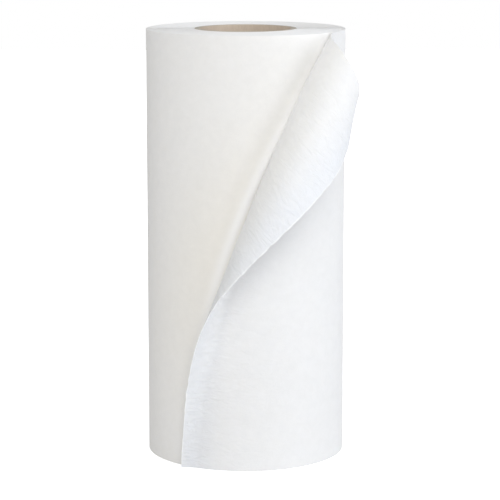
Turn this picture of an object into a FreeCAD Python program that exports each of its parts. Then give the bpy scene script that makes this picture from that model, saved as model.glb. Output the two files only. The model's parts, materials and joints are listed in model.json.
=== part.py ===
"""A roll of nonwoven wiping web on a cardboard core, standing on its end.

Millimetres. The roll's axis is Z, its lower end lies on z = 0, and its front faces -Y.
Angles round the roll are in degrees from the front, positive towards +X.

The web is wound so that its outermost turn comes round the right side to the front. Its free
end is cut off at the front left. The upper corner of that end has sprung away from the roll
and rolled over to the right, so that the web's inner face shows. The loose end is worked out as
an unrolled sheet: it lifts off along a slanting line, bends over in a long curl, and is then
wrapped round the roll.
"""
import FreeCAD, Part
import math
import os

# Core: a wound paper tube
core_bore = 76.2
core_wall = 4.0
core_clearance = 0.1

# Web: its width is the roll's height
roll_radius = 82.0
roll_width = 356.0
web_thickness = 0.6

# Turns that show on the two ends, as one spiral groove on each
groove_turns = 6
groove_width = 1.2
groove_depth = 0.6

# Angles round the roll of the web's cut edge, and of the root of its outermost turn
free_edge_low = -38.2
free_edge_top = -16.6
outer_turn_root = 68.0

# Line along which the loose end lifts off, as angles round the roll, and the curl's slant
lift_low = -26.9
lift_middle = -0.1
lift_top = 65.5
fold_slant = 31.1

# Curl of the loose end, as radii and turns: away from the roll, over, and down
first_bend_low = 30.7
first_bend_middle = 7.5
first_bend_top = 58.8
first_turn_low = 76.0
first_turn_top = 13.0
fold_bend_low = 52.9
fold_bend_middle = 17.0
fold_bend_top = 15.9
fold_turn = 143.0
fall_bend_low = 102.0
fall_bend_top = 20.9
tightest_bend = 3.0

# How finely the loose end is set out, as flat facets
rows = 30
columns = 20

# Seat of the loose end on the roll: how far it runs on under the outermost turn, how deep it is
# sunk there, how far each lies below the next face out, and the length over which it comes free
seat_length = 6.0
seat_overlap = 0.25
seat_ledge = 0.08
seat_blend = 18.0

# The loose end's upper and lower edges stop short of the roll's flat ends
end_setback = 0.5


def at_angle(angle, radius, z):
    """A point at that angle from the front and that distance from the roll's axis."""
    turn = math.radians(angle)
    return FreeCAD.Vector(radius * math.sin(turn), -radius * math.cos(turn), z)


def distance_of(angle):
    """The distance round the roll's face that an angle covers."""
    return math.radians(angle) * roll_radius


def angle_of(distance):
    return math.degrees(distance / roll_radius)


def between(low, top, z):
    """A value that changes evenly from the lower end of the roll to the upper."""
    return low + (top - low) * z / roll_width


def bowed(low, middle, top, z):
    """A value that passes through three given ones, at the ends and at half height."""
    share = z / roll_width
    return between(low, top, z) + 4 * (middle - (low + top) / 2) * share * (1 - share)


def lift_line(z):
    """Distance round the roll, from the front, at which the loose end lifts off."""
    return distance_of(bowed(lift_low, lift_middle, lift_top, z))


def free_edge(z):
    return distance_of(between(free_edge_low, free_edge_top, z))


def curl(z, length):
    """Turn, reach and height of the curl after that length of web, in its own plane."""
    level = max(z, 0.0)
    first = max(tightest_bend, bowed(first_bend_low, first_bend_middle, first_bend_top, level))
    fold = max(tightest_bend, bowed(fold_bend_low, fold_bend_middle, fold_bend_top, level))
    fall = between(fall_bend_low, fall_bend_top, level)
    first_turn = math.radians(between(first_turn_low, first_turn_top, level))
    full_turn = math.radians(fold_turn)
    stages = [
        (first, first * first_turn),
        (fold, fold * (full_turn - first_turn)),
        (fall, math.inf),
    ]
    turn, reach, height, left = 0.0, 0.0, 0.0, length
    for radius, run in stages:
        step = min(left, run)
        after = turn + step / radius
        reach += radius * (math.sin(after) - math.sin(turn))
        height += radius * (math.cos(turn) - math.cos(after))
        turn = after
        left -= step
    return turn, reach, height


def beyond_lift_line(along, z):
    """How far a point of the unrolled sheet lies beyond the lift line, square to the curl."""
    slant = math.radians(fold_slant)
    near, far = 0.0, 2 * max(0.0, lift_line(z) - along)
    for _ in range(50):
        middle = (near + far) / 2
        start = lift_line(z - middle * math.sin(slant))
        if start - middle * math.cos(slant) > along:
            near = middle
        else:
            far = middle
    return near


def loose_point(along, z, outer):
    """A point of the loose end, from its place on the unrolled sheet."""
    slant = math.radians(fold_slant)
    length = beyond_lift_line(along, z)
    foot = z - length * math.sin(slant)
    start = along + length * math.cos(slant)
    turn, reach, height = curl(foot, length)
    seat = max(0.0, 1 - length / seat_blend)
    seat = seat * seat * (3 - 2 * seat)
    if outer:
        offset = web_thickness - 2 * seat_ledge * seat
    else:
        offset = -seat_overlap * seat
    reach -= offset * math.sin(turn)
    height += offset * math.cos(turn)
    across = start - reach * math.cos(slant)
    return at_angle(angle_of(across), roll_radius + height, foot + reach * math.sin(slant))


def loose_points(outer):
    """Rows of points up the loose end, each from its seat to the web's free edge."""
    lowest, highest = -seat_length, roll_width - end_setback
    points = []
    for row in range(rows):
        z = lowest + (highest - lowest) * row / (rows - 1)
        start = lift_line(z) + seat_length
        step = (free_edge(z) - start) / (columns - 1)
        points += [loose_point(start + step * column, z, outer) for column in range(columns)]
    return points


def strip(first, second):
    """Triangles between two lines of points, given by their numbers."""
    facets = []
    for i in range(len(first) - 1):
        facets.append((first[i], second[i], second[i + 1]))
        facets.append((first[i], second[i + 1], first[i + 1]))
    return facets


def loose_end():
    """The loose end of the web: an inner and an outer face, closed round their edges."""
    inner = [[row * columns + column for column in range(columns)] for row in range(rows)]
    outer = [[number + rows * columns for number in row] for row in inner]
    facets = strip(outer[0], inner[0]) + strip(inner[-1], outer[-1])
    for row in range(rows - 1):
        facets += strip(inner[row], inner[row + 1]) + strip(outer[row + 1], outer[row])
    facets += strip([row[0] for row in inner], [row[0] for row in outer])
    facets += strip([row[-1] for row in outer], [row[-1] for row in inner])
    shape = Part.Shape()
    shape.makeShapeFromMesh((loose_points(False) + loose_points(True), facets), 0.01)
    sheet = Part.Solid(shape.Shells[0])
    if sheet.Volume < 0:
        sheet.reverse()
    span = 4 * roll_radius
    below = Part.makeBox(span, span, span)
    below.translate(FreeCAD.Vector(-span / 2, -span / 2, end_setback - span))
    return sheet.cut(below)


def outermost_turn():
    """The outermost turn from its root to the lift line, as a shell sunk into the roll."""
    shell = Part.makeCylinder(roll_radius + web_thickness - seat_ledge, roll_width)
    shell = shell.cut(Part.makeCylinder(roll_radius - seat_overlap, roll_width))
    heights = [roll_width * row / (rows - 1) for row in range(-1, rows + 1)]
    foot = [at_angle(angle_of(lift_line(z)), roll_radius, z) for z in heights]
    far = 2 * roll_radius
    root = at_angle(outer_turn_root, roll_radius, 0).x
    line = Part.BSplineCurve()
    line.interpolate([FreeCAD.Vector(point.x, 0, point.z) for point in foot])
    corners = [
        FreeCAD.Vector(foot[-1].x, 0, foot[-1].z),
        FreeCAD.Vector(root, 0, foot[-1].z),
        FreeCAD.Vector(root, 0, foot[0].z),
        FreeCAD.Vector(foot[0].x, 0, foot[0].z),
    ]
    outline = Part.Wire([line.toShape()] + Part.makePolygon(corners).Edges)
    return shell.common(Part.Face(outline).extrude(FreeCAD.Vector(0, -far, 0)))


def wound_turns():
    """The roll itself, out to the step where its outermost turn starts, as a true spiral."""
    quarter = web_thickness / 4
    step = at_angle(outer_turn_root - 1.0, 1.0, 0)
    up = FreeCAD.Vector(0, 0, 1)
    side = up.cross(step)
    arcs = []
    for sign, radius in ((1, roll_radius + 3 * quarter), (-1, roll_radius + quarter)):
        centre = step * (sign * quarter)
        start = centre + step * (sign * radius)
        middle = centre + side * (sign * radius)
        end = centre - step * (sign * radius)
        arcs.append(Part.Arc(start, middle, end).toShape())
    ledge = Part.makeLine(arcs[1].Vertexes[-1].Point, arcs[0].Vertexes[0].Point)
    outline = Part.Wire(arcs + [ledge])
    return Part.Face(outline).extrude(up * roll_width)


def groove_tool(radius, centre, end, inward, first_half):
    """Half a turn of the V-groove between two turns, on one flat end of the roll."""
    above = -inward * groove_depth
    tip = FreeCAD.Vector(centre + radius, 0, end + inward * groove_depth)
    outer = FreeCAD.Vector(centre + radius + groove_width, 0, end + above)
    inner = FreeCAD.Vector(centre + radius - groove_width, 0, end + above)
    profile = Part.Face(Part.makePolygon([tip, outer, inner, tip]))
    if not first_half:
        profile.rotate(FreeCAD.Vector(centre, 0, 0), FreeCAD.Vector(0, 0, 1), 180)
    return profile.revolve(FreeCAD.Vector(centre, 0, 0), FreeCAD.Vector(0, 0, 1), 180)


def end_grooves():
    """One spiral groove on each end, made of half turns about two centres."""
    hole = core_bore / 2 + core_wall + core_clearance
    pitch = (roll_radius - hole) / (groove_turns + 1)
    tools = []
    for end, inward in ((0.0, 1), (roll_width, -1)):
        for half in range(2 * groove_turns):
            first_half = half % 2 == 0
            centre = -pitch / 4 if first_half else pitch / 4
            radius = hole + 3 * pitch / 4 + half * pitch / 2
            tools.append(groove_tool(radius, centre, end, inward, first_half))
    return tools


def wound_web():
    web = wound_turns().fuse([outermost_turn(), loose_end()])
    hole = Part.makeCylinder(core_bore / 2 + core_wall + core_clearance, roll_width)
    return web.cut([hole] + end_grooves())


def core_tube():
    tube = Part.makeCylinder(core_bore / 2 + core_wall, roll_width)
    return tube.cut(Part.makeCylinder(core_bore / 2, roll_width))


if __name__ == "__main__":
    os.makedirs("parts", exist_ok=True)
    core_tube().exportStep("parts/core_tube.step")
    wound_web().exportStep("parts/wound_web.step")
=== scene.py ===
"""Looks of a nonwoven wipe roll that stands on its end, with the loose corner of its web rolled over.

Metres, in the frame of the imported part: the roll's axis is Z, its lower end lies on z = 0 and its
front faces -Y. Angles round the roll are in degrees from the front, positive towards +X.
"""
import json
import math

import bpy
import numpy as np
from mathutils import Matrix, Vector


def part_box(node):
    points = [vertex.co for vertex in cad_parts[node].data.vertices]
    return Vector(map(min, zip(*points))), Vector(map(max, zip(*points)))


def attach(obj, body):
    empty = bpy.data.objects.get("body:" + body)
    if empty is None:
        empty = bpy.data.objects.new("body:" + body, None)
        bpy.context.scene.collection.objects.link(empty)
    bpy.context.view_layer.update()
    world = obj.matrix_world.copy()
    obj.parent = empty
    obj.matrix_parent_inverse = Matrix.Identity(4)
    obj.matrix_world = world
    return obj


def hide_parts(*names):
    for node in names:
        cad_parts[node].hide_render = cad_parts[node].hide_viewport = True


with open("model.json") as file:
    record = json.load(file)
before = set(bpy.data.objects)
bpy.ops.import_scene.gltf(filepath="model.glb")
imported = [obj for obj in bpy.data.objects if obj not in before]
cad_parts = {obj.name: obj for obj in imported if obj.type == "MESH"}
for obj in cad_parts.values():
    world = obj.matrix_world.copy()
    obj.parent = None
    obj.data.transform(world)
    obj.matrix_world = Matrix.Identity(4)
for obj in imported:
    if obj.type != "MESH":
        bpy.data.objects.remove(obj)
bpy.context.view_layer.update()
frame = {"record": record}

bl_info = {
    "name": "Nonwoven wipe roll",
    "version": (1, 0, 0),
    "blender": (4, 5, 0),
    "location": "3D View > Sidebar > Wipe roll",
    "description": "Builds a roll of nonwoven web on a paper core, with its loose end curled over",
    "category": "Object",
}

CORE_LOW, CORE_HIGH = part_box("core_tube")
MOUNTS = {mount["name"]: mount for mount in frame["record"]["mounts"]}
ROLL_WIDTH = CORE_HIGH.z - CORE_LOW.z
CORE_RADIUS = (CORE_HIGH.x - CORE_LOW.x) / 2
BORE_RADIUS = MOUNTS["core_bore"]["dims"]["r_mm"] / 1000


def length(name, default, description):
    return bpy.props.FloatProperty(
        name=name, description=description, default=default, unit="LENGTH", precision=5, min=0.0
    )


def angle(name, default, description):
    return bpy.props.FloatProperty(
        name=name, description=description, default=math.radians(default), subtype="ANGLE"
    )


def number(name, default, description):
    return bpy.props.FloatProperty(name=name, description=description, default=default)


def colour(name, default, description):
    return bpy.props.FloatVectorProperty(
        name=name, description=description, default=default, subtype="COLOR", size=3, min=0, max=1
    )


class WebSizes(bpy.types.PropertyGroup):
    """The web: how it is wound and where its outermost turn ends."""

    roll_radius: length("Roll radius", 0.082, "Radius of the roll under its outermost turn")
    thickness: length("Thickness", 0.0006, "Thickness of the web")
    ledge: length("Ledge", 0.0001, "Gap between the core and the innermost turn")
    ripple: length("Ripple", 0.00035, "How much the turns' edges rise and fall on the flat ends")
    free_edge_low: angle("Free edge low", -38.2, "Where the cut edge is at the lower end")
    free_edge_top: angle("Free edge top", -16.6, "Where the cut edge would be at the upper end")
    root: angle("Root", 67.0, "Where the outermost turn lies one thickness above the roll radius")
    left: angle("Left", 285.0, "Where the faces become finer, on the roll's left")
    tuck: angle("Tuck", 78.0, "How far the modelled turn runs on under itself")
    dents: length("Dents", 0.00025, "How unevenly the outermost turn lies on the roll")
    fray: length("Fray", 0.0007, "How ragged the cut edge is")


class CurlSizes(bpy.types.PropertyGroup):
    """The curl of the loose end: its foot, its slant and its bends."""

    lift_low: angle("Lift low", -26.9, "Where the loose end lifts off at the lower end")
    lift_middle: angle("Lift middle", -0.1, "Where the loose end lifts off at half height")
    lift_top: angle("Lift top", 65.5, "Where the loose end lifts off at the upper end")
    corner: angle("Corner", 5.5, "How far the curl swings on at the upper end")
    corner_start: length("Corner start", 0.3, "Height from which the curl swings on")
    slant: angle("Slant", 31.1, "How far the curl leans from the roll's round")
    first_low: length("First bend low", 0.0307, "Radius of the bend away from the roll, low down")
    first_middle: length("First bend middle", 0.0075, "The same radius at half height")
    first_top: length("First bend top", 0.0588, "The same radius at the upper end")
    first_turn_low: angle("First turn low", 76.0, "Turn of the first bend low down")
    first_turn_top: angle("First turn top", 13.0, "Turn of the first bend at the upper end")
    fold_low: length("Fold low", 0.0529, "Radius of the bend over, low down")
    fold_middle: length("Fold middle", 0.017, "The same radius at half height")
    fold_top: length("Fold top", 0.0159, "The same radius at the upper end")
    fold_turn: angle("Fold turn", 143.0, "Turn at which the web falls back")
    fall_low: length("Fall low", 0.102, "Radius of the fall, low down")
    fall_top: length("Fall top", 0.0209, "The same radius at the upper end")
    # How far past the curl's crest the painted shade on its inner face is darkest.
    fold_shade_offset: length("Hollow", 0.011, "How far past the curl's crest its inner face is greyest")
    crumple: length("Crumple", 0.0004, "How far the loose end is crumpled, each way")
    crumple_run: length("Crumple run", 0.03, "How far beyond the lift line it is crumpled fully")
    tightest: length("Tightest bend", 0.003, "No bend is tighter than this")


class RidgeSizes(bpy.types.PropertyGroup):
    """The turn below the curl, which the curl has drawn up into a ridge and a softer swell, with
    painted warm shade and a painted paler band of light beside the curl.
    """

    low: angle("Line low", -29.5, "Where the curl's left side would be at the lower end")
    middle: angle("Line middle", -8.5, "Where the curl's left side is at half height")
    top: angle("Line top", 58.5, "Where the curl's left side is at the upper end")
    spread: number("Spread", 2.0, "How many times wider the ridge and the swell are at the top")
    ridge_height: length("Ridge height", 0.0022, "How far the ridge stands out, low down")
    ridge_top: length("Ridge height, top", 0.0065, "The same at the rim, before the curl limits it")
    ridge_offset: length("Ridge offset", 0.005, "How far left of the line the ridge is")
    ridge_width: length("Ridge width", 0.0042, "Half width of the ridge")
    swell_height: length("Swell height", 0.0022, "How far the swell stands out")
    swell_offset: length("Swell offset", 0.023, "How far left of the line the swell is")
    swell_near: length("Swell's near side", 0.0075, "Half width of its side towards the line")
    swell_far: length("Swell's far side", 0.018, "Half width of its other side")
    # Painted warm shade on the turn below, strongest beside the curl.
    warm_height: length("Warmth height", 0.18, "Height at which the turn below is warmest")
    warm_spread: length("Warmth spread", 0.12, "How far up and down its warmth spreads")
    warm_width: length("Warmth width", 0.06, "How far its warmth spreads from the curl")
    # A paler band of painted light on the turn below, beside the curl.
    painted_light_near: length("Drawn up, near side", 0.004, "Where the web is drawn up most")
    painted_light_far: length("Drawn up, far side", 0.0052, "Half width of the stretch beyond that")
    painted_light_top: number("Drawn up, top", 8.0, "How many times over its far side grows at the rim")
    start: length("Ridge start", 0.15, "Height at which both start to rise")
    full: length("Ridge full", 0.25, "Height from which both stand out fully")


class Finishes(bpy.types.PropertyGroup):
    """Colours, tones and relief of the web, the core and the floor; the web's tones include painted
    light and shade.
    """

    web: colour("Web", (0.871, 0.868, 0.861), "The web's own colour")
    web_shade: colour("Web shade", (0.839, 0.836, 0.829), "The web where its fibres lie thinner")
    # Painted cool light: the web near its cut edge is tinted cool and a little darker.
    cool_light_tint: colour("Edge tint", (0.935, 0.955, 0.992), "Tint of the web near its cut edge")
    # Painted warm shade on the turn below the outermost.
    warm_shade_tint: colour("Tint below", (1.0, 0.965, 0.895), "Tint of the turn below the outermost")
    # Painted shade on the loose end just past its fold.
    fold_shade_tint: colour("Fold tint", (0.885, 0.88, 0.862), "Tint of the loose end past its fold")
    # Painted light: the paler band on the turn below beside the curl.
    painted_light_colour: colour("Web drawn up", (0.985, 0.977, 0.955), "The turn below beside the curl")
    # Along the cut edge: its loose fibres, with a painted highlight on them.
    fibres: colour("Fibres", (0.93, 0.935, 0.94), "Loose fibres along the cut edge")
    # Widths of the painted highlight, the painted cool light and the painted warm shade, from the cut
    # edge.
    highlit_fringe: length("Fringe", 0.001, "How far in from the cut edge the loose fibres show")
    edge_full: length("Edge tint full", 0.008, "Distance from the cut edge with the full edge tint")
    edge_none: length("Edge tint none", 0.033, "Distance from the cut edge at which it has faded")
    below_none: length("Tint below none", 0.15, "Distance from the cut edge where tint below starts")
    below_full: length("Tint below full", 0.4, "Distance from the cut edge where it stops growing")
    creased: length("Creased", 0.11, "How far from the cut edge the web is creased")
    crease_depth: number("Crease depth", 9.0, "Depth of the creases against that of the fibres")
    web_bump: number("Web bump", 0.35, "Strength of the fibres' relief")
    web_relief: length("Web relief", 0.0006, "Height of the fibres' relief")
    core_relief: length("Core relief", 0.0004, "Height of the paperboard's relief")
    core: colour("Core", (0.67, 0.57, 0.47), "The core's paperboard")
    core_shade: colour("Core shade", (0.55, 0.46, 0.37), "Darker fibres in the paperboard")
    core_cut: colour("Core cut", (0.44, 0.42, 0.37), "The core's cut end")
    backdrop: colour("Backdrop", (1.0, 1.0, 1.0), "Floor and backdrop as the camera sees them")
    floor: colour("Floor", (0.78, 0.78, 0.78), "Floor as it lights the roll")
    glow_near: length("Glow near", 0.2, "How far from the roll's axis the floor glows least")
    glow_far: length("Glow far", 1.5, "How far from the roll's axis it glows fully")
    glow_least: number("Least glow", 0.55, "Glow of the floor round the roll, where the shadow shows")


class StageSizes(bpy.types.PropertyGroup):
    """Camera and lamps."""

    camera_side: length("Camera side", 0.00373, "How far right of the roll's axis the camera is")
    camera_distance: length("Camera distance", 1.7871, "How far in front of the axis it is")
    camera_height: length("Camera height", 0.4884, "How high it is above the floor")
    camera_pitch: angle("Camera pitch", 10.121, "How far it looks down")
    lens: number("Lens", 155.15, "Focal length in millimetres")
    sensor: number("Sensor", 36.0, "Width of the camera's sensor in millimetres")
    front_power: number("Front lamp power", 30.5, "Power of the front lamp in watts")
    front_size: length("Front lamp size", 2.2, "Side of the front lamp")
    front_bearing: angle("Front lamp bearing", -5.0, "Where the front lamp stands round the roll")
    front_rise: angle("Front lamp rise", 28.0, "How high the front lamp stands")
    front_distance: length("Front lamp distance", 2.6, "How far off the front lamp stands")
    front_tint: colour("Front lamp tint", (1.0, 1.0, 1.0), "Colour of the front lamp's light")
    right_power: number("Right lamp power", 13.8, "Power of the right lamp in watts")
    right_size: length("Right lamp size", 1.8, "Side of the right lamp")
    right_bearing: angle("Right lamp bearing", 75.0, "Where the right lamp stands round the roll")
    right_rise: angle("Right lamp rise", 20.0, "How high the right lamp stands")
    right_distance: length("Right lamp distance", 1.7, "How far off the right lamp stands")
    right_tint: colour("Right lamp tint", (0.89, 0.93, 1.0), "Colour of the right lamp's light")
    sky: number("Sky", 0.55, "Strength of the light from all round")
    floor_size: length("Floor size", 8.0, "Side of the floor")


# --- the web's shape -----------------------------------------------------------------------

# Steps of the search for the place where a point's own line leaves the roll.
HALVINGS = 40
# How closely the ridge's growth, and the painted paler band of light beside the curl, keep to the rim.
RIDGE_POWER = 6
PALE_POWER = 40
# How closely the ripple keeps to the flat ends.
RIPPLE_POWER = 6
# Ripple of the lower end, on which the roll stands, as a share of the upper end's.
LOWER_RIPPLE = 0.5
# Thicknesses of web from the ridge's outer face to the curl over it, less what a dent takes, and
# the least rise that counts.
RIDGE_CLEARANCE = 1.2
LEAST_RISE = 1e-5
# Brings the sum of random waves to about one each way.
WAVE_GAIN = 1.7


def between(low, top, share):
    """A value that changes evenly from the lower end of the roll to the upper."""
    return low + (top - low) * share


def bowed(low, middle, top, share):
    """A value that passes through three given ones, at the ends and at half height."""
    return between(low, top, share) + 4 * (middle - (low + top) / 2) * share * (1 - share)


def inner_radius(web, turned):
    """Radius of the web's inner face, at an angle counted on from the front, turn after turn."""
    return web.roll_radius - web.thickness * (turned - web.root) / math.tau


def corner_turn(curl, z):
    """Angle by which the curl swings on towards its upper end."""
    share = np.clip((z - curl.corner_start) / (ROLL_WIDTH - curl.corner_start), 0, 1)
    return curl.corner * share**2


def lift_line(web, curl, z):
    """Distance round the roll at which the loose end lifts off."""
    line = bowed(curl.lift_low, curl.lift_middle, curl.lift_top, z / ROLL_WIDTH)
    return web.roll_radius * (line + corner_turn(curl, z))


def first_bends(curl, z):
    """Radii of the bends away from the roll and over, and the turn at which one follows the other."""
    share = np.maximum(z, 0.0) / ROLL_WIDTH
    first = bowed(curl.first_low, curl.first_middle, curl.first_top, share)
    fold = bowed(curl.fold_low, curl.fold_middle, curl.fold_top, share)
    first_turn = between(curl.first_turn_low, curl.first_turn_top, share)
    return np.maximum(first, curl.tightest), np.maximum(fold, curl.tightest), first_turn


def curled(curl, z, beyond):
    """Turn, reach and height of the curl after those lengths of web, in its own plane."""
    first, fold, first_turn = first_bends(curl, z)
    fall = between(curl.fall_low, curl.fall_top, np.maximum(z, 0.0) / ROLL_WIDTH)
    turn, reach, height = (np.zeros_like(beyond) for _ in range(3))
    left = beyond
    stages = [
        (first, first * first_turn),
        (fold, fold * (curl.fold_turn - first_turn)),
        (fall, np.full_like(beyond, np.inf)),
    ]
    for radius, run in stages:
        step = np.minimum(left, run)
        after = turn + step / radius
        reach = reach + radius * (np.sin(after) - np.sin(turn))
        height = height + radius * (np.cos(turn) - np.cos(after))
        turn = after
        left = left - step
    return turn, reach, height


def beyond_lift_line(web, curl, along, z):
    """How far points of the unrolled web lie beyond the lift line, square to the curl."""
    near = np.zeros_like(along)
    far = 2 * np.maximum(0.0, lift_line(web, curl, z) - along)
    for _ in range(HALVINGS):
        middle = (near + far) / 2
        start = lift_line(web, curl, z - middle * math.sin(curl.slant))
        inside = start - middle * math.cos(curl.slant) > along
        near = np.where(inside, middle, near)
        far = np.where(inside, far, middle)
    return near


def bell(aside, width):
    """One in the middle, falling off softly to nought on both sides."""
    return np.exp(-((aside / width) ** 2))


def room_under(web, curl, along, z):
    """Height of the curl's underside over points of the turn below, endless where it is open."""
    below = along - math.tau * web.roll_radius
    reach = beyond_lift_line(web, curl, below, z)
    first, fold, first_turn = first_bends(curl, z - reach * math.sin(curl.slant))
    eased = first - np.sqrt(np.maximum(first**2 - reach**2, 0))
    middle = (first - fold) * np.sin(first_turn)
    centre = first - (first - fold) * np.cos(first_turn)
    turned = centre - np.sqrt(np.maximum(fold**2 - (reach - middle) ** 2, 0))
    room = np.where(reach < first * np.sin(first_turn), eased, turned)
    return np.where(reach < middle + fold, room, np.inf)


def folded_over(web, curl, along, z):
    """How much painted shade the loose end gets just past its crest, from nought to one."""
    beyond = beyond_lift_line(web, curl, along, z)
    first, fold, first_turn = first_bends(curl, z - beyond * math.sin(curl.slant))
    crest = first * first_turn + fold * (math.pi / 2 - first_turn)
    return bell(beyond - crest - curl.fold_shade_offset, curl.fold_shade_offset) * (beyond > 0)


def left_of_curl(web, curl, ridge, along, z):
    """How far points of the turn below lie left of the curl's left side."""
    line = bowed(ridge.low, ridge.middle, ridge.top, z / ROLL_WIDTH) + corner_turn(curl, z)
    return web.roll_radius * (line + math.tau) - along


def drawn_up(web, curl, ridge, along, z):
    """How much painted light the turn below gets beside the curl, as a paler band, from nought to one.
    """
    left = left_of_curl(web, curl, ridge, along, z)
    far = ridge.painted_light_far * (1 + ridge.painted_light_top * (z / ROLL_WIDTH) ** PALE_POWER)
    side = np.where(left < ridge.painted_light_near, ridge.painted_light_near, far)
    return bell(left - ridge.painted_light_near, side) * np.clip(z / ridge.full, 0, 1)


def warmth(web, curl, ridge, along, z):
    """How much painted warm shade the turn below gets, from nought to one: most beside the curl."""
    beside = bell(left_of_curl(web, curl, ridge, along, z), ridge.warm_width)
    return beside * bell(z - ridge.warm_height, ridge.warm_spread)


def ridge_rise(web, curl, ridge, along, z):
    """How far points of the turn below stand out, in a soft ridge and a broader swell."""
    left = left_of_curl(web, curl, ridge, along, z)
    near_top = (z / ROLL_WIDTH) ** RIDGE_POWER
    height = between(ridge.ridge_height, ridge.ridge_top, near_top)
    wider = between(1, ridge.spread, near_top)
    narrow = height * bell(left - ridge.ridge_offset, ridge.ridge_width * wider)
    side = np.where(left < ridge.swell_offset * wider, ridge.swell_near, ridge.swell_far)
    broad = ridge.swell_height * bell(left - ridge.swell_offset * wider, side * wider)
    share = np.clip((z - ridge.start) / (ridge.full - ridge.start), 0, 1)
    rise = (narrow + broad) * share * share * (3 - 2 * share)
    room = room_under(web, curl, along, z) - RIDGE_CLEARANCE * web.thickness
    return np.where(rise > LEAST_RISE, np.clip(rise, 0, np.maximum(room, 0)), 0)


def web_places(web, curl, ridge, along, z):
    """Where points of the unrolled web's inner face come to lie."""
    beyond = beyond_lift_line(web, curl, along, z)
    foot = z - beyond * math.sin(curl.slant)
    start = along + beyond * math.cos(curl.slant)
    turn, reach, height = curled(curl, foot, beyond)
    crumples = waviness(seed=21, count=24, shortest=0.012, longest=0.05)(along, z)
    crumple = curl.crumple * crumples * np.clip(beyond / curl.crumple_run, 0, 1)
    reach = reach - crumple * np.sin(turn)
    height = height + crumple * np.cos(turn)
    turned = (start - reach * math.cos(curl.slant)) / web.roll_radius
    uneven = waviness(seed=8, count=24, shortest=0.02, longest=0.11)(along, z)
    dents = web.dents * (0.5 + 0.5 * uneven) * (beyond == 0)
    radius = inner_radius(web, turned) + height + dents + ridge_rise(web, curl, ridge, along, z)
    up = foot + reach * math.sin(curl.slant)
    return np.stack([radius * np.sin(turned), -radius * np.cos(turned), up], axis=-1)


def sunk(web, rise):
    """How far a turn's edge has sunk below the flat end, where the waves give that rise."""
    return web.ripple * (0.5 - 0.5 * np.clip(rise, -1, 1))


def waviness(seed, count, shortest, longest):
    """Waves of random length, direction and phase, whose sum stays about within one each way."""
    draw = np.random.default_rng(seed)
    lengths = shortest * (longest / shortest) ** draw.random(count)
    directions = draw.random(count) * math.tau
    phases = draw.random(count) * math.tau
    weights = lengths / lengths.sum()

    def value(across, up=0.0):
        total = 0.0
        for wave in range(count):
            run = across * math.cos(directions[wave]) + up * math.sin(directions[wave])
            total = total + weights[wave] * np.sin(math.tau * run / lengths[wave] + phases[wave])
        return WAVE_GAIN * total

    return value


# --- making pieces -------------------------------------------------------------------------


def start_piece(name):
    """Deselects everything, so that the next operators act on the new piece alone."""
    bpy.ops.object.select_all(action="DESELECT")
    if bpy.data.objects.get(name):
        raise RuntimeError(name + " is already there")


def finish_piece(piece, replaced):
    """Sets a piece in the frame, in the place of a plain solid."""
    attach(piece, "root")
    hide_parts(replaced)


def open_mesh():
    bpy.ops.object.mode_set(mode="EDIT")


def close_mesh():
    bpy.ops.object.mode_set(mode="OBJECT")


def places_of(piece):
    places = np.empty(len(piece.data.vertices) * 3)
    piece.data.vertices.foreach_get("co", places)
    return places.reshape(-1, 3)


def set_places(piece, places):
    piece.data.vertices.foreach_set("co", places.ravel())
    piece.data.update()


def outline_piece(name, points):
    """A line of points in the plane y = 0, each extruded from the last; the first is a merged plane."""
    start_piece(name)
    bpy.ops.mesh.primitive_plane_add(size=0.001, location=(0, 0, 0))
    piece = bpy.context.active_object
    piece.name = piece.data.name = name
    open_mesh()
    bpy.ops.mesh.select_all(action="SELECT")
    bpy.ops.mesh.merge(type="CENTER")
    last = Vector((0, 0, 0))
    for index, point in enumerate(points):
        step = Vector((point[0], 0, point[1])) - last
        if index:
            bpy.ops.mesh.extrude_vertices_move(TRANSFORM_OT_translate={"value": step})
        else:
            bpy.ops.transform.translate(value=step)
        last += step
    return piece


def spin_round(steps, turn=math.tau):
    """Spins the line that is being edited round the Z axis, and leaves the seam open."""
    bpy.ops.mesh.select_all(action="SELECT")
    bpy.ops.mesh.spin(
        steps=steps, angle=turn, center=(0, 0, 0), axis=(0, 0, 1), use_auto_merge=False
    )
    close_mesh()


def shade_smooth(piece, sharpest):
    """Smooth shading that leaves edges sharp past that angle in degrees."""
    bpy.ops.object.select_all(action="DESELECT")
    piece.select_set(True)
    bpy.context.view_layer.objects.active = piece
    bpy.ops.object.shade_smooth_by_angle(angle=math.radians(sharpest))


# --- the roll's turns ----------------------------------------------------------------------

# A turn's edge, from its inner side out: share of the pitch, and share of the groove's depth.
TURN_SECTION = ((0.22, 0.25), (0.5, 0.0), (0.78, 0.25), (1.0, 1.0))
# Depth of the grooves between the turns' edges, as a share of the web's thickness.
GROOVE_SHARE = 0.6
# The line is spun a little less than once round, so that its last ring isn't its first.
SPUN_SHARE = 0.999
# Share of once round within which a point is one of the line that was spun.
SAME_PLACE = 1e-6


def turn_profile(outer, inner, turns, groove):
    """Half section of the wound turns: up the hole, out over the turns, down and back."""
    pitch = (outer - inner) / turns
    out = [(inner, -groove)]
    for turn in range(turns):
        start = inner + turn * pitch
        out += [(start + share * pitch, -sink * groove) for share, sink in TURN_SECTION]
    top = [(radius, ROLL_WIDTH + sink) for radius, sink in out]
    bottom = [(radius, -sink) for radius, sink in reversed(out)]
    return top + bottom + top[:1]


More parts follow.
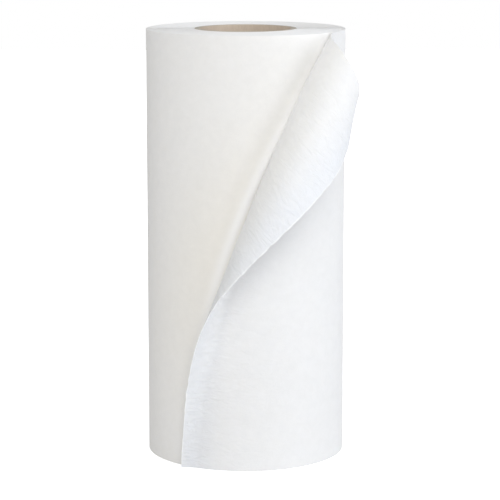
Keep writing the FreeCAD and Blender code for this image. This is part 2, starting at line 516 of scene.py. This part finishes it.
class ROLL_OT_turns(bpy.types.Operator):
    """Adds the wound turns under the outermost one, with every turn's edge on both ends"""

    bl_idname = "wipe_roll.turns"
    bl_label = "Wound turns"

    steps: bpy.props.IntProperty(name="Steps", description="Steps round a turn", default=128)
    doubles: length("Doubles", 0.00002, "Points closer than this become one")

    def execute(self, context):
        web = context.scene.wipe_web
        outer = inner_radius(web, web.tuck)
        inner = CORE_RADIUS + web.ledge + web.thickness
        turns = round((outer - inner) / web.thickness)
        pitch = (outer - inner) / turns
        groove = GROOVE_SHARE * web.thickness
        piece = outline_piece("wound_turns", turn_profile(outer, inner, turns, groove))
        spin_round(self.steps, -math.tau * SPUN_SHARE)
        self.wind(piece, web, outer, pitch)
        open_mesh()
        bpy.ops.mesh.select_all(action="SELECT")
        bpy.ops.mesh.remove_doubles(threshold=self.doubles)
        bpy.ops.mesh.select_all(action="DESELECT")
        bpy.ops.mesh.select_non_manifold()
        bpy.ops.mesh.fill_holes(sides=0)
        bpy.ops.mesh.select_all(action="SELECT")
        bpy.ops.mesh.normals_make_consistent(inside=False)
        close_mesh()
        shade_smooth(piece, sharpest=50)
        piece.data.materials.append(turns_material(context.scene.wipe_finish))
        finish_piece(piece, "wound_web")
        return {"FINISHED"}

    def wind(self, piece, web, outer, pitch):
        """Draws the rings in as they go round, so that they become one spiral."""
        places = places_of(piece)
        radius = np.hypot(places[:, 0], places[:, 1])
        round_share = np.mod(np.arctan2(places[:, 1], places[:, 0]), math.tau) / math.tau
        round_share = np.where(round_share > 1 - SAME_PLACE, 0.0, round_share) / SPUN_SHARE
        unwound = math.tau * (1 + round_share + (outer - radius) / pitch) + web.tuck
        rise = waviness(seed=3, count=14, shortest=0.09, longest=1.1)(unwound * web.roll_radius)
        radius = radius - pitch * round_share
        turned = web.tuck + math.tau * round_share
        upper = places[:, 2] > ROLL_WIDTH / 2
        sink = sunk(web, rise)
        lower_up = np.maximum(places[:, 2], 0) + LOWER_RIPPLE * sink
        up = np.where(upper, places[:, 2] - sink, lower_up)
        set_places(piece, np.stack([radius * np.sin(turned), -radius * np.cos(turned), up], axis=-1))


# --- the outermost turn and its loose end --------------------------------------------------


class ROLL_OT_outer_turn(bpy.types.Operator):
    """Adds the outermost turn as one sheet: once round the roll, then free and curled over"""

    bl_idname = "wipe_roll.outer_turn"
    bl_label = "Outermost turn"

    rows: bpy.props.IntProperty(name="Rows", description="Rows of faces up the web", default=200)
    loose: bpy.props.IntProperty(name="Loose", description="Faces along the loose end", default=90)
    behind: bpy.props.IntProperty(name="Behind", description="Faces round the back", default=40)
    below: bpy.props.IntProperty(name="Below", description="Faces along the turn below", default=90)

    def execute(self, context):
        web, curl, ridge = context.scene.wipe_web, context.scene.wipe_curl, context.scene.wipe_ridge
        start_piece("outer_turn")
        along, z = self.set_out(web)
        places = web_places(web, curl, ridge, along, z)
        places[..., 2] = np.maximum(places[..., 2], 0.0)
        piece = self.sheet_piece(places, along, z)
        # Shares of painted light and shade, kept for the material: beside the curl and past the fold.
        self.mark(piece, "drawn_up", drawn_up(web, curl, ridge, along, z))
        self.mark(piece, "warmth", warmth(web, curl, ridge, along, z))
        self.mark(piece, "folded_over", folded_over(web, curl, along, z))
        context.collection.objects.link(piece)
        context.view_layer.objects.active = piece
        piece.select_set(True)
        solid = piece.modifiers.new("Thickness", "SOLIDIFY")
        solid.thickness = web.thickness
        solid.offset = 1.0
        bpy.ops.object.modifier_apply(modifier=solid.name)
        shade_smooth(piece, sharpest=60)
        piece.data.materials.append(outermost_material(context.scene.wipe_finish, web))
        finish_piece(piece, "wound_web")
        return {"FINISHED"}

    def set_out(self, web):
        """Places of the sheet's points on the flat: distance round the roll, and height."""
        share = np.linspace(0, 1, self.rows + 1)[:, None]
        fray = waviness(seed=11, count=40, shortest=0.002, longest=0.015)(share * ROLL_WIDTH)
        cut = web.roll_radius * between(web.free_edge_low, web.free_edge_top, share)
        cut = cut + web.fray * fray
        seat = web.roll_radius * web.root
        left = web.roll_radius * web.left
        end = web.roll_radius * (math.tau + web.tuck)
        loose = cut + (seat - cut) * np.linspace(0, 1, self.loose + 1)[None, :]
        behind = np.linspace(seat, left, self.behind + 1)[1:]
        below = np.linspace(left, end, self.below + 1)[1:]
        wound = np.concatenate([behind, below])
        wound = np.broadcast_to(wound, (self.rows + 1, self.behind + self.below))
        along = np.concatenate([loose, wound], axis=1)
        rise = waviness(seed=5, count=14, shortest=0.09, longest=0.9)(along)
        from_middle = 1 - 2 * share
        z = ROLL_WIDTH * share + sunk(web, rise) * from_middle * np.abs(from_middle) ** RIPPLE_POWER
        return along, z

    def mark(self, piece, name, shares):
        """Keeps a share for each point of the sheet, for its material to read."""
        attribute = piece.data.attributes.new(name, "FLOAT", "POINT")
        attribute.data.foreach_set("value", shares.ravel())

    def sheet_piece(self, places, along, z):
        """The sheet as a grid of faces, with its flat places kept as a UV map."""
        rows, columns = along.shape
        mesh = bpy.data.meshes.new("outer_turn")
        number = np.arange(rows * columns).reshape(rows, columns)
        faces = np.stack(
            [number[:-1, :-1], number[:-1, 1:], number[1:, 1:], number[1:, :-1]], axis=-1
        ).reshape(-1, 4)
        mesh.from_pydata(places.reshape(-1, 3).tolist(), [], faces.tolist())
        flat = mesh.uv_layers.new(name="flat")
        corners = np.empty(len(mesh.loops), dtype=int)
        mesh.loops.foreach_get("vertex_index", corners)
        flat_places = np.stack([along, np.broadcast_to(z, along.shape)], axis=-1).reshape(-1, 2)
        flat.data.foreach_set("uv", flat_places[corners].ravel())
        mesh.validate()
        return bpy.data.objects.new("outer_turn", mesh)


# --- the core ------------------------------------------------------------------------------

# Width of the slope on each side of a ply's end, as a share of the ply.
PLY_EASE = 0.1


def core_profile(plies, groove, rings):
    """Section of the core's wall: the lower end from the outside in, up the bore, the upper end."""
    ply = (CORE_RADIUS - BORE_RADIUS) / plies
    end = [(BORE_RADIUS, -groove)]
    for turn in range(plies):
        start = BORE_RADIUS + turn * ply
        end += [(start + PLY_EASE * ply, 0.0), (start + (1 - PLY_EASE) * ply, 0.0)]
        end += [(start + ply, -groove)]
    profile = [(radius, -rise) for radius, rise in reversed(end)]
    profile += [(BORE_RADIUS, z) for z in np.linspace(0, ROLL_WIDTH, rings)[1:-1]]
    profile += [(radius, ROLL_WIDTH + rise) for radius, rise in end]
    return profile + profile[:1]


class ROLL_OT_core(bpy.types.Operator):
    """Adds the paper core: a tube of spiral-wound plies"""

    bl_idname = "wipe_roll.core"
    bl_label = "Paper core"

    steps: bpy.props.IntProperty(name="Steps", description="Steps round the core", default=160)
    rings: bpy.props.IntProperty(name="Rings", description="Rings of points up the bore", default=40)
    plies: bpy.props.IntProperty(name="Plies", description="Layers of paper in the wall", default=7)
    groove: length("Groove", 0.00015, "How deep the grooves between the plies' ends are")
    doubles: length("Doubles", 0.00001, "Points closer than this become one")

    def execute(self, context):
        start_piece("paper_core")
        piece = outline_piece("paper_core", core_profile(self.plies, self.groove, self.rings))
        spin_round(self.steps)
        open_mesh()
        bpy.ops.mesh.select_all(action="SELECT")
        bpy.ops.mesh.remove_doubles(threshold=self.doubles)
        bpy.ops.mesh.normals_make_consistent(inside=False)
        close_mesh()
        shade_smooth(piece, sharpest=50)
        piece.data.materials.append(core_material(context.scene.wipe_finish))
        finish_piece(piece, "core_tube")
        return {"FINISHED"}


# --- materials -----------------------------------------------------------------------------


class Nodes:
    """The node tree of a material or world, with short ways to add and join its nodes."""

    def __init__(self, owner, output):
        owner.use_nodes = True
        self.owner = owner
        self.tree = owner.node_tree
        self.tree.nodes.clear()
        self.output = self.tree.nodes.new(output)

    def add(self, kind, inputs=None, **settings):
        node = self.tree.nodes.new("ShaderNode" + kind)
        for name, value in settings.items():
            setattr(node, name, value)
        for name, value in (inputs or {}).items():
            self.put(node.inputs[name], value)
        return node

    def put(self, socket, value):
        """Joins another node's output to a socket, or sets the socket's own value."""
        if isinstance(value, bpy.types.NodeSocket):
            self.tree.links.new(value, socket)
        else:
            socket.default_value = value

    def noise(self, vector, scale, detail, roughness, distortion=0.0):
        values = {"Vector": vector, "Scale": scale, "Detail": detail}
        values.update({"Roughness": roughness, "Distortion": distortion})
        return self.add("TexNoise", values).outputs["Fac"]

    def ramp(self, value, low, high, bottom=0.0, top=1.0):
        """Changes evenly from bottom to top while the value goes from low to high."""
        values = {"Value": value, "From Min": low, "From Max": high}
        values.update({"To Min": bottom, "To Max": top})
        return self.add("MapRange", values).outputs["Result"]

    def math(self, operation, first, second):
        return self.add("Math", {0: first, 1: second}, operation=operation).outputs["Value"]

    def share_out(self, share, first, second):
        """Two values added, the first in that share and the second in the rest."""
        first = self.math("MULTIPLY", first, share)
        second = self.math("MULTIPLY", second, 1 - share)
        return self.math("ADD", first, second)

    def tone(self, name):
        """A tone that is kept for each point of the sheet, from nought to one."""
        return self.add("Attribute", attribute_name=name).outputs["Fac"]

    def mix(self, share, first, second, how="MIX"):
        """Mixes two colours: the node's sockets for those are its inputs 6 and 7 and its output 2."""
        node = self.add("Mix", {0: share, 6: first, 7: second}, data_type="RGBA", blend_type=how)
        return node.outputs[2]

    def blend(self, share, first, second):
        """Mixes two shaders."""
        node = self.add("MixShader", {"Fac": share})
        self.tree.links.new(first.outputs[0], node.inputs[1])
        self.tree.links.new(second.outputs[0], node.inputs[2])
        return node

    def finish(self, shader):
        self.tree.links.new(shader.outputs[0], self.output.inputs["Surface"])
        return self.owner


def material_nodes(name):
    return Nodes(bpy.data.materials.new(name), "ShaderNodeOutputMaterial")


def opaque(value):
    return (value[0], value[1], value[2], 1.0)


def web_colour(nodes, finish, place):
    """Off-white, a little cloudy where the fibres lie unevenly; and the fibres' height."""
    clouds = nodes.noise(place, scale=140.0, detail=4.0, roughness=0.6, distortion=0.4)
    fibres = nodes.noise(place, scale=900.0, detail=3.0, roughness=0.7, distortion=1.8)
    share = nodes.ramp(nodes.share_out(0.6, clouds, fibres), low=0.36, high=0.64)
    height = nodes.share_out(0.4, clouds, fibres)
    return nodes.mix(share, opaque(finish.web_shade), opaque(finish.web)), height


def matt_web(nodes, finish, colour_value, height):
    """The web's matt, softly furred surface."""
    relief = {"Height": height, "Strength": finish.web_bump, "Distance": finish.web_relief}
    normal = nodes.add("Bump", relief).outputs["Normal"]
    shader = nodes.add("BsdfPrincipled", {"Base Color": colour_value, "Normal": normal})
    shader.inputs["Roughness"].default_value = 0.92
    shader.inputs["Specular IOR Level"].default_value = 0.2
    shader.inputs["Sheen Weight"].default_value = 0.1
    shader.inputs["Sheen Roughness"].default_value = 0.6
    shader.inputs["Subsurface Weight"].default_value = 0.3
    shader.inputs["Subsurface Radius"].default_value = (1.0, 0.95, 0.85)
    shader.inputs["Subsurface Scale"].default_value = 0.0015
    return nodes.finish(shader)


def turns_material(finish):
    """The web's edges, turn upon turn, on the roll's ends."""
    nodes = material_nodes("wound web")
    colour_value, height = web_colour(nodes, finish, nodes.add("TexCoord").outputs["Object"])
    return matt_web(nodes, finish, colour_value, height)


def inward_of_cut(nodes, web, flat):
    """Distance of a point of the flat web from the slanting line of its cut edge."""
    parts = nodes.add("SeparateXYZ", {"Vector": flat})
    slope = web.roll_radius * (web.free_edge_top - web.free_edge_low) / ROLL_WIDTH
    cut = nodes.math("MULTIPLY", parts.outputs["Y"], slope)
    cut = nodes.math("ADD", cut, web.roll_radius * web.free_edge_low)
    return nodes.math("SUBTRACT", parts.outputs["X"], cut)


def web_tones(nodes, finish, inward, colour_value):
    """The web's colour with painted light and shade: painted cool light and a painted highlight at the
    cut edge, painted warm shade on the turn below, painted shade past the fold and a painted paler band
    beside the curl.
    """
    # Painted cool light near the cut edge.
    near = nodes.ramp(inward, finish.edge_full, finish.edge_none, bottom=1.0, top=0.0)
    # Painted warm shade on the turn below, strongest beside the curl.
    below = nodes.ramp(inward, finish.below_none, finish.below_full)
    warm = nodes.share_out(0.3, below, nodes.tone("warmth"))
    # Painted highlight on the loose fibres along the cut edge.
    highlit_fringe = nodes.ramp(inward, 0.0, finish.highlit_fringe, bottom=1.0, top=0.0)
    tints = (
        (near, finish.cool_light_tint, "MULTIPLY"),
        (warm, finish.warm_shade_tint, "MULTIPLY"),
        # Painted shade on the loose end just past its fold.
        (nodes.tone("folded_over"), finish.fold_shade_tint, "MULTIPLY"),
        # Painted light: a paler band on the turn below beside the curl.
        (nodes.tone("drawn_up"), finish.painted_light_colour, "MIX"),
        (highlit_fringe, finish.fibres, "MIX"),
    )
    for share, tint, how in tints:
        colour_value = nodes.mix(share, colour_value, opaque(tint), how)
    return colour_value


def creases(nodes, finish, flat, inward):
    """Fine wrinkles along the flat web, deepest at the cut edge."""
    wrinkled = nodes.add("Mapping", {"Vector": flat, "Scale": (70.0, 150.0, 1.0)}).outputs["Vector"]
    wrinkles = nodes.noise(wrinkled, scale=1.0, detail=3.0, roughness=0.55, distortion=1.4)
    near = nodes.ramp(inward, 0.0, finish.creased, bottom=1.0, top=0.0)
    depth = nodes.math("MULTIPLY", nodes.math("POWER", near, 2.0), finish.crease_depth)
    return nodes.math("MULTIPLY", depth, wrinkles)


def outermost_material(finish, web):
    """The web seen flat, with its painted light and shade and its creases."""
    nodes = material_nodes("outermost web")
    colour_value, height = web_colour(nodes, finish, nodes.add("TexCoord").outputs["Object"])
    flat = nodes.add("UVMap", uv_map="flat").outputs["UV"]
    inward = inward_of_cut(nodes, web, flat)
    colour_value = web_tones(nodes, finish, inward, colour_value)
    height = nodes.math("ADD", height, creases(nodes, finish, flat, inward))
    return matt_web(nodes, finish, colour_value, height)


def core_material(finish):
    """Brown-grey paperboard, with fibres along its plies and a darker cut end."""
    nodes = material_nodes("paperboard")
    place = nodes.add("TexCoord").outputs["Object"]
    stretched = nodes.add("Mapping", {"Vector": place, "Scale": (1.0, 1.0, 0.25)}).outputs["Vector"]
    fibres = nodes.noise(stretched, scale=700.0, detail=4.0, roughness=0.65, distortion=0.6)
    clouds = nodes.noise(stretched, scale=60.0, detail=3.0, roughness=0.5)
    share = nodes.ramp(nodes.share_out(0.5, clouds, fibres), low=0.35, high=0.65)
    board = nodes.mix(share, opaque(finish.core_shade), opaque(finish.core))
    facing = nodes.add("SeparateXYZ", {"Vector": nodes.add("NewGeometry").outputs["Normal"]})
    cut = nodes.ramp(nodes.math("ABSOLUTE", facing.outputs["Z"], 0.0), low=0.4, high=0.8)
    colour_value = nodes.mix(cut, board, opaque(finish.core_cut))
    relief = {"Height": fibres, "Strength": 0.3, "Distance": finish.core_relief}
    normal = nodes.add("Bump", relief).outputs["Normal"]
    shader = nodes.add("BsdfPrincipled", {"Base Color": colour_value, "Normal": normal})
    shader.inputs["Roughness"].default_value = 0.85
    shader.inputs["Specular IOR Level"].default_value = 0.3
    return nodes.finish(shader)


def backdrop_share(nodes):
    """One for the rays that show the backdrop itself, and nought for those that light the roll."""
    path = nodes.add("LightPath")
    seen = nodes.math("MAXIMUM", path.outputs["Is Camera Ray"], path.outputs["Is Glossy Ray"])
    return nodes.math("MAXIMUM", seen, path.outputs["Is Transmission Ray"])


def floor_material(finish):
    """Pale floor, which fades into the backdrop away from the roll and keeps the roll's shadow."""
    nodes = material_nodes("floor")
    place = nodes.add("TexCoord").outputs["Object"]
    distance = nodes.add("VectorMath", {0: place}, operation="LENGTH").outputs["Value"]
    glow = nodes.ramp(distance, finish.glow_near, finish.glow_far, finish.glow_least, 1.0)
    lit = nodes.add("BsdfDiffuse", {"Color": opaque(finish.floor)})
    white = nodes.add("BsdfDiffuse", {"Color": opaque(finish.backdrop)})
    glowing = nodes.add("Emission", {"Color": opaque(finish.backdrop), "Strength": glow})
    shown = nodes.add("AddShader", {0: white.outputs[0], 1: glowing.outputs[0]})
    return nodes.finish(nodes.blend(backdrop_share(nodes), lit, shown))


# --- the stage -----------------------------------------------------------------------------


class ROLL_OT_stage(bpy.types.Operator):
    """Adds the floor, the lamps, the backdrop and the camera"""

    bl_idname = "wipe_roll.stage"
    bl_label = "Stage"

    def execute(self, context):
        scene, stage, finish = context.scene, context.scene.wipe_stage, context.scene.wipe_finish
        start_piece("floor")
        bpy.ops.mesh.primitive_plane_add(size=stage.floor_size, location=(0, 0, 0))
        floor = context.active_object
        floor.name = floor.data.name = "floor"
        floor.data.materials.append(floor_material(finish))
        self.backdrop(scene, stage, finish)
        self.lamp(stage, "front")
        self.lamp(stage, "right")
        self.camera(scene, stage)
        scene.view_settings.view_transform = "Standard"
        return {"FINISHED"}

    def backdrop(self, scene, stage, finish):
        """White behind the roll, and an even light from all round."""
        scene.world = bpy.data.worlds.new("studio")
        nodes = Nodes(scene.world, "ShaderNodeOutputWorld")
        light = nodes.add("Background", {"Color": (1.0, 1.0, 1.0, 1.0), "Strength": stage.sky})
        white = nodes.add("Background", {"Color": opaque(finish.backdrop), "Strength": 1.0})
        nodes.finish(nodes.blend(backdrop_share(nodes), light, white))

    def lamp(self, stage, side):
        """A square soft lamp that faces the middle of the roll."""
        bearing, rise = getattr(stage, side + "_bearing"), getattr(stage, side + "_rise")
        level = math.cos(rise)
        away = Vector((math.sin(bearing) * level, -math.cos(bearing) * level, math.sin(rise)))
        middle = Vector((0, 0, ROLL_WIDTH / 2))
        place = middle + getattr(stage, side + "_distance") * away
        bpy.ops.object.light_add(type="AREA", location=place)
        lamp = bpy.context.active_object
        lamp.name = lamp.data.name = side + "_lamp"
        lamp.rotation_euler = away.to_track_quat("Z", "Y").to_euler()
        lamp.data.size = getattr(stage, side + "_size")
        lamp.data.energy = getattr(stage, side + "_power")
        lamp.data.color = getattr(stage, side + "_tint")

    def camera(self, scene, stage):
        place = (stage.camera_side, -stage.camera_distance, stage.camera_height)
        level = math.pi / 2
        bpy.ops.object.camera_add(location=place, rotation=(level - stage.camera_pitch, 0, 0))
        camera = bpy.context.active_object
        camera.data.lens = stage.lens
        camera.data.sensor_width = stage.sensor
        scene.camera = camera


class ROLL_PT_panel(bpy.types.Panel):
    """Lists the roll's pieces, sizes and finishes"""

    bl_idname = "ROLL_PT_panel"
    bl_label = "Wipe roll"
    bl_space_type = "VIEW_3D"
    bl_region_type = "UI"
    bl_category = "Wipe roll"

    def draw(self, context):
        for step in STEPS:
            self.layout.operator(step.bl_idname)
        for name, sizes in GROUPS.items():
            box = self.layout.box()
            for size in sizes.__annotations__:
                box.prop(getattr(context.scene, name), size)


GROUPS = {
    "wipe_web": WebSizes,
    "wipe_curl": CurlSizes,
    "wipe_ridge": RidgeSizes,
    "wipe_finish": Finishes,
    "wipe_stage": StageSizes,
}
STEPS = (ROLL_OT_core, ROLL_OT_turns, ROLL_OT_outer_turn, ROLL_OT_stage)


def register():
    for item in (*GROUPS.values(), *STEPS, ROLL_PT_panel):
        bpy.utils.register_class(item)
    for name, group in GROUPS.items():
        setattr(bpy.types.Scene, name, bpy.props.PointerProperty(type=group))


def unregister():
    for name in GROUPS:
        delattr(bpy.types.Scene, name)
    for item in reversed((*GROUPS.values(), *STEPS, ROLL_PT_panel)):
        bpy.utils.unregister_class(item)


def main():
    register()
    bpy.ops.wipe_roll.core()
    bpy.ops.wipe_roll.turns()
    bpy.ops.wipe_roll.outer_turn()
    bpy.ops.wipe_roll.stage()


if __name__ == "__main__":
    main()
